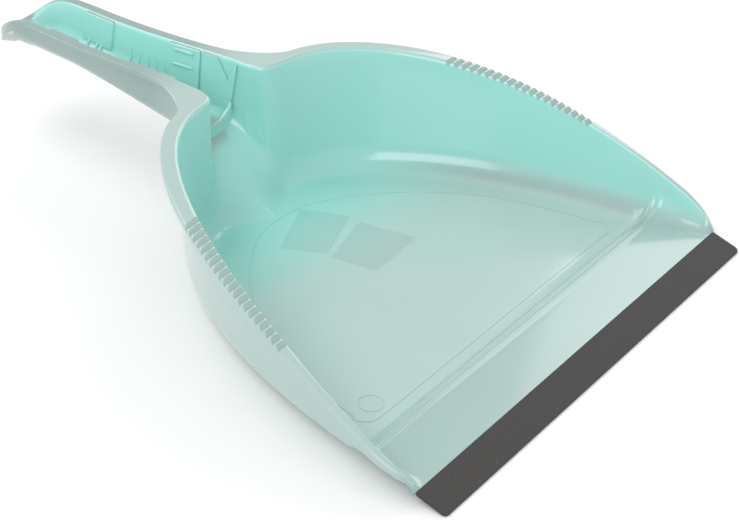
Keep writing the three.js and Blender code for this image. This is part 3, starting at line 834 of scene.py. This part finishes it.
def channel_rib_faces(bm, y, side):
    path = rib_path(y)
    rings = []
    for i, point in enumerate(path):
        along = unit(path[min(i + 1, len(path) - 1)] - path[max(i - 1, 0)])
        inward = unit(np.array([-along[2], 0, along[0]]))
        height = CHANNEL_RIB_HEIGHT * math.sin(math.pi * (i + 0.6) / (len(path) + 0.2)) ** 0.5
        ring = []
        for across, up in RIB_SECTION:
            offset = inward * (up * height - CHANNEL_RIB_SUNK)
            offset = np.array([0, across * CHANNEL_RIB_WIDTH / 2, 0]) + offset
            ring.append(bm.verts.new(to_frame((point + offset) * np.array([side, 1, 1]))))
        rings.append(ring)
    for near, far in zip(rings, rings[1:]):
        for i in range(len(RIB_SECTION)):
            j = (i + 1) % len(RIB_SECTION)
            bm.faces.new((near[i], near[j], far[j], far[i]))
    bm.faces.new(rings[0])
    bm.faces.new(rings[-1])


def build_channel_ribs():
    bm = bmesh.new()
    for y in REAR_RIBS + MIDDLE_RIBS:
        for side in (1, -1):
            channel_rib_faces(bm, y, side)
    obj = new_object("channel_ribs", bm)
    obj.data.materials.append(pan_plastic)
    return obj


channel_ribs = build_channel_ribs()
print("ribs on each side:", len(REAR_RIBS + MIDDLE_RIBS))

# %% Slabs on the channel's walls
PAD_HEIGHT = 1.1
PAD_TOP_CLEARANCE = 0.5
PAD_FOOT_CLEARANCE = 3
PAD_EDGE_ROUND, PAD_EDGE_ANGLE = 0.6, 35
handle_rows = [row for row in rows if COLLAR_Y - 6 < row.rim[1] < HANDLE_BEND_Y + 4]


def wall_line(y):
    """The wall's foot and top at this place on the handle, and the way into the channel."""
    ys = [row.rim[1] for row in handle_rows]
    foot, top, outer = (
        np.array([np.interp(y, ys, [getattr(row, part)[k] for row in handle_rows]) for k in range(3)])
        for part in ("knee", "rim", "outer")
    )
    return foot, top, flat_unit(foot - outer)


def wall_slab(name, places, low, high, height, sunk=1.0):
    """A slab on both walls: low and high give its edges' heights at each place along the handle."""
    bm = bmesh.new()
    for side in (1, -1):
        mirror = np.array([side, 1, 1])
        rings = []
        for y in places:
            foot, top, inward = wall_line(y)
            at = [foot + (top - foot) * ((z - foot[2]) / (top[2] - foot[2])) for z in (low(y), high(y))]
            corners = [at[0] + inward * height, at[1] + inward * height,
                       at[1] - inward * sunk, at[0] - inward * sunk]
            rings.append([bm.verts.new(to_frame(c * mirror)) for c in corners])
        for near, far in zip(rings, rings[1:]):
            for i in range(4):
                j = (i + 1) % 4
                bm.faces.new((near[i], near[j], far[j], far[i]))
        bm.faces.new(rings[0])
        bm.faces.new(rings[-1])
    obj = new_object(name, bm)
    soften = obj.modifiers.new("soft edges", "BEVEL")
    soften.width = PAD_EDGE_ROUND * MM
    soften.segments = 3
    soften.angle_limit = math.radians(PAD_EDGE_ANGLE)
    obj.data.materials.append(pan_plastic)
    return obj


def pad_top(y):
    return rim_height(y) - PAD_TOP_CLEARANCE


def pad_foot(y):
    return spine_height(y) + PAD_FOOT_CLEARANCE


NOTCH_FROM, NOTCH_APEX, NOTCH_DEPTH = 223.5, 217.5, 10.0
LINER_LEAN = 5.0
REAR_PAD_SPAN = (287, 305.6)
CATCH_PAD_SPAN = (233.3, 251.7)
CATCH_PLACES = [237, 241, 245, 249]
CATCH_DROPS = {"upper": 1.5, "lower": 8.5}
CATCH_WIDTH = 1.6
CATCH_STAND = 0.7


def liner_top(y):
    if y > NOTCH_FROM:
        return pad_top(y)
    if y > NOTCH_APEX:
        return pad_top(y) - NOTCH_DEPTH * (NOTCH_FROM - y) / (NOTCH_FROM - NOTCH_APEX)
    front = NOTCH_APEX - LINER_LEAN
    return pad_top(y) - 1 - (NOTCH_DEPTH - 1) * (y - front) / (NOTCH_APEX - front)


def liner_foot(y):
    lean = clamp((NOTCH_APEX - y) / LINER_LEAN)
    return lerp(pad_foot(y), liner_top(y) - 0.5, lean)


def catch(name, drop):
    """A snap bar on each catch pad, this far below the pad's top."""
    return wall_slab(
        f"catch_{name}", CATCH_PLACES, lambda y: pad_top(y) - drop - CATCH_WIDTH,
        lambda y: pad_top(y) - drop, PAD_HEIGHT + CATCH_STAND,
    )


rear_pads = wall_slab("rear_pads", np.linspace(*REAR_PAD_SPAN, 6), pad_foot, pad_top, PAD_HEIGHT)
catch_pads = wall_slab("catch_pads", np.linspace(*CATCH_PAD_SPAN, 6), pad_foot, pad_top, PAD_HEIGHT)
liner_places = [NOTCH_APEX - LINER_LEAN, 215, NOTCH_APEX, NOTCH_FROM, 226, 229, 232]
throat_liners = wall_slab("throat_liners", liner_places, liner_foot, liner_top, PAD_HEIGHT)
catches = [catch(name, drop) for name, drop in CATCH_DROPS.items()]
print("slabs:", [o.name for o in (rear_pads, catch_pads, throat_liners, *catches)])

# %% The collar
COLLAR_CREST = 36.3
COLLAR_RADIUS = 14.5
COLLAR_SIDE_INSET = 2.4
COLLAR_EDGE_ROUND = 0.5


def build_collar():
    half = THROAT_HALF_WIDTH - COLLAR_SIDE_INSET
    xs = np.linspace(-half, half, 33)
    crest = [COLLAR_CREST + COLLAR_RADIUS - math.sqrt(COLLAR_RADIUS**2 - x * x) for x in xs]
    bm = bmesh.new()
    rings = []
    for x, z in zip(xs, crest):
        low = CHUTE_TOP - WALL / 2
        corners = [(x, COLLAR_Y, low), (x, COLLAR_Y, z), (x, slot_front, z), (x, slot_front, low)]
        rings.append([bm.verts.new(to_frame(c)) for c in corners])
    for near, far in zip(rings, rings[1:]):
        for i in range(4):
            j = (i + 1) % 4
            bm.faces.new((near[i], near[j], far[j], far[i]))
    bm.faces.new(rings[0])
    bm.faces.new(rings[-1])
    obj = new_object("throat_collar", bm)
    soften = obj.modifiers.new("soft edges", "BEVEL")
    soften.width = COLLAR_EDGE_ROUND * MM
    soften.segments = 3
    obj.data.materials.append(pan_plastic)
    return obj


collar = build_collar()
print("collar crest at", COLLAR_CREST)

# %% Two plain square marks
SQUARE_SUNK, SQUARE_PROUD = 0.3, 0.03
square_outlines = [
    [(-18, 159.8), (-8.1, 140.6), (22.1, 151.5), (13.1, 173.4)],
    [(-9, 137.8), (-4.7, 115.5), (27.4, 117.5), (21.5, 145.6)],
]
squares = []
for i, outline in enumerate(square_outlines):
    name = f"floor_mark_{i + 1}"
    square = prism(name, outline, FLOOR_TOP - SQUARE_SUNK, FLOOR_TOP + SQUARE_PROUD)
    square.data.materials.append(mark_plastic)
    squares.append(square)

# %% [markdown]
# ## The rubber lip
#
# The lip is a strip of soft rubber that slopes from the mouth down to the ground. It has a plan with
# small round corners, so it is an outline with a top and a bottom, sheared down towards its tip.

# %% The lip
LIP_HALF_WIDTH = lip_high[0]
LIP_ROOT_Y = lip_high[1] - TIP_Y
LIP_CORNER = 2.0
LIP_TIP_THICKNESS = 1.1
LIP_ROOT_THICKNESS = 1.5
LIP_EDGE_ROUND, LIP_EDGE_ANGLE = 0.35, 50
LIP_STEPS_ACROSS, LIP_LAYERS = 60, 9


def lip_top(y):
    return lerp(LIP_TIP_THICKNESS, PLATEAU_TOP, y / LIP_ROOT_Y)


def lip_low_side(y):
    return lerp(0, PLATEAU_TOP - LIP_ROOT_THICKNESS, y / LIP_ROOT_Y)


def build_lip():
    half, corner = LIP_HALF_WIDTH, LIP_CORNER
    turns = np.linspace(0, math.pi / 2, 9)
    right = [(half - corner + corner * math.cos(t), corner - corner * math.sin(t)) for t in turns]
    edge_xs = np.linspace(half - corner, corner - half, LIP_STEPS_ACROSS)[1:-1]
    left = [(-x, y) for x, y in reversed(right)]
    tip = right + [(x, 0) for x in edge_xs] + left
    bm = bmesh.new()
    layers = []
    for y_part in np.linspace(0, 1, LIP_LAYERS):
        layers.append([(x, lerp(y, LIP_ROOT_Y, y_part)) for x, y in tip])
    tops = [[bm.verts.new(to_frame((x, y, lip_top(y)))) for x, y in ring] for ring in layers]
    lows = [[bm.verts.new(to_frame((x, y, lip_low_side(y)))) for x, y in ring] for ring in layers]
    for sheet in (tops, lows):
        for near, far in zip(sheet, sheet[1:]):
            for i in range(len(tip) - 1):
                bm.faces.new((near[i], near[i + 1], far[i + 1], far[i]))
    for i in range(len(tip) - 1):
        bm.faces.new((tops[0][i], tops[0][i + 1], lows[0][i + 1], lows[0][i]))
        bm.faces.new((tops[-1][i], tops[-1][i + 1], lows[-1][i + 1], lows[-1][i]))
    for layer in range(len(layers) - 1):
        for i in (0, -1):
            bm.faces.new((tops[layer][i], tops[layer + 1][i], lows[layer + 1][i], lows[layer][i]))
    obj = new_object("rubber_lip", bm)
    soften = obj.modifiers.new("soft edges", "BEVEL")
    soften.width = LIP_EDGE_ROUND * MM
    soften.segments = 3
    soften.angle_limit = math.radians(LIP_EDGE_ANGLE)
    obj.data.materials.append(rubber)
    return obj


lip = build_lip()
print("lip:", len(lip.data.vertices), "vertices")

# %% Smooth shading with crisp edges
CRISP_ANGLE = 32
pan.data.materials.clear()
pan.data.materials.append(pan_plastic)


def smooth(obj, degrees):
    mesh = obj.data
    mesh.polygons.foreach_set("use_smooth", [True] * len(mesh.polygons))
    mesh.set_sharp_from_angle(angle=math.radians(degrees))
    mesh.update()


raised = [channel_ribs, rear_pads, catch_pads, throat_liners, *catches, collar, *squares]
for obj in (pan, lip, *raised):
    smooth(obj, CRISP_ANGLE)

# %% [markdown]
# ## Joining the looks to the frame
#
# Everything moulded rides on the pan's body. The lip is set in place once and rides on no body.

# %% Ride and replace
for obj in (pan, *raised):
    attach(obj, "pan")
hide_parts("pan_body")
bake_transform(lip)
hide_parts("edge_lip")

# %% [markdown]
# ## Floor, light and camera
#
# A wide white floor, a big soft light overhead and one to each side give the long pale reflections of a
# catalogue picture. The camera is far away with a long lens, as such pictures are taken.


# %% Floor and light
FLOOR_HALF = 4.0
WHITE_FLOOR = (0.9, 0.9, 0.9)
SKY_STRENGTH = 0.72
LIGHTS = {  # name: place, size and power
    "key": ((-0.3, 0.9, 1.5), (1.4, 1.0), 11),
    "fill": ((-1.4, -0.8, 1.0), (1.0, 1.0), 10),
    "rim": ((1.4, 0.2, 0.9), (0.8, 1.2), 6),
}


def plain_floor():
    mesh = bpy.data.meshes.new("studio_floor")
    turns = ((-1, -1), (1, -1), (1, 1), (-1, 1))
    corners = [(x * FLOOR_HALF, y * FLOOR_HALF, 0) for x, y in turns]
    mesh.from_pydata(corners, [], [(0, 1, 2, 3)])
    floor = bpy.data.objects.new("studio_floor", mesh)
    bpy.context.scene.collection.objects.link(floor)
    made, _ = material("studio floor", WHITE_FLOOR, 0.6)
    mesh.materials.append(made)


def soft_light(name, place, size, power):
    lamp = bpy.data.lights.new(name, "AREA")
    lamp.shape = "RECTANGLE"
    lamp.size, lamp.size_y = size
    lamp.energy = power
    obj = bpy.data.objects.new(name, lamp)
    bpy.context.scene.collection.objects.link(obj)
    obj.location = place
    obj.rotation_euler = (-Vector(place)).to_track_quat("-Z", "Y").to_euler()


plain_floor()
for name, (place, size, power) in LIGHTS.items():
    soft_light(name, place, size, power)
world = bpy.data.worlds.new("white studio")
world.use_nodes = True
sky = world.node_tree.nodes["Background"]
sky.inputs["Color"].default_value = (1, 1, 1, 1)
sky.inputs["Strength"].default_value = SKY_STRENGTH
bpy.context.scene.world = world
bpy.context.scene.view_settings.view_transform = "Standard"

# %% Camera
RIGHT = Vector((0.61252, -0.79020, 0.02010))
UP = Vector((0.43796, 0.36043, 0.82358))
BACK = RIGHT.cross(UP)
CAMERA_PLACE = (-524.9, -272.2, 453.7)
SENSOR_WIDTH, LENS = 36, 87.7
camera_data = bpy.data.cameras.new("camera")
camera_data.sensor_width = SENSOR_WIDTH
camera_data.lens = LENS
camera = bpy.data.objects.new("camera", camera_data)
place = to_frame(CAMERA_PLACE)
turned = Matrix((RIGHT, UP, BACK)).transposed().to_4x4()
camera.matrix_world = Matrix.Translation(place) @ turned
bpy.context.scene.collection.objects.link(camera)
bpy.context.scene.camera = camera
print("camera at", tuple(round(v, 3) for v in place))
